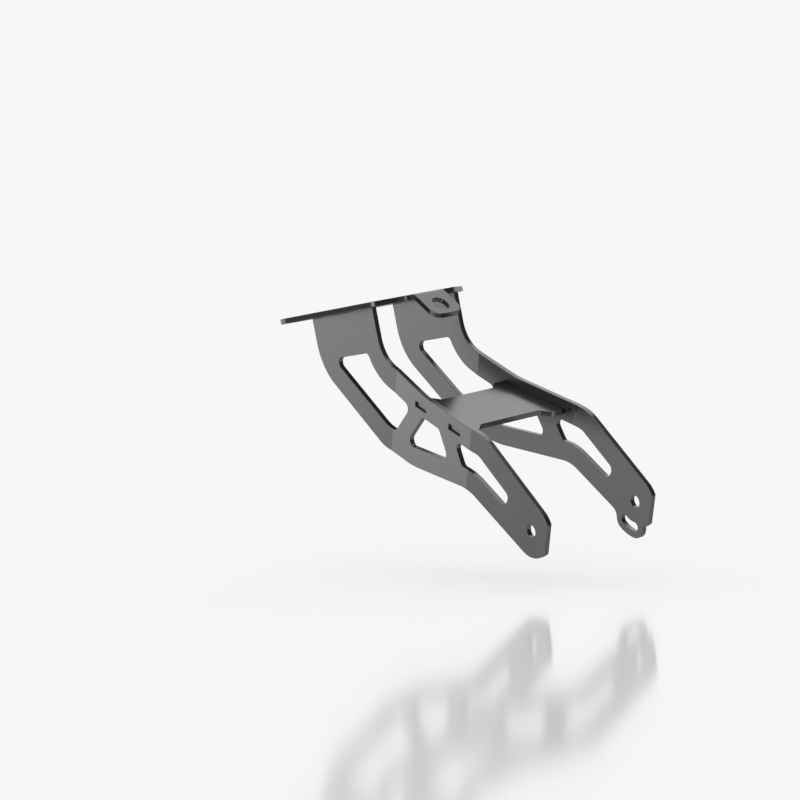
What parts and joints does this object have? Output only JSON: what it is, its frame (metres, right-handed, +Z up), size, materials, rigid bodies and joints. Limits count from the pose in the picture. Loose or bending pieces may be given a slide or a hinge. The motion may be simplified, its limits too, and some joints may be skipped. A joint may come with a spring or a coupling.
{
  "type": "tail tidy",
  "caption": "Welded sheet-metal tail tidy: a flat eared top plate with a bent tongue, stepped arms with cut-out windows and a tabbed cross plate, to carry a number plate.",
  "frame": {"origin": "midway between the two ear holes, on the upper face of the top plate", "axes": "+Z up, out of the top plate's upper face; +Y forward along the motorbike; +X to the right, the side of the arm with the slotted lug"},
  "size_m": [0.1262, 0.1913, 0.1477],
  "materials": {
    "dark_coat": "semi-gloss dark grey coat on cut and folded sheet"
  },
  "bodies": {
    "root": {"top_plate": "dark_coat", "left_arm": "dark_coat", "right_arm": "dark_coat", "cross_plate": "dark_coat"}
  },
  "joints": []
}
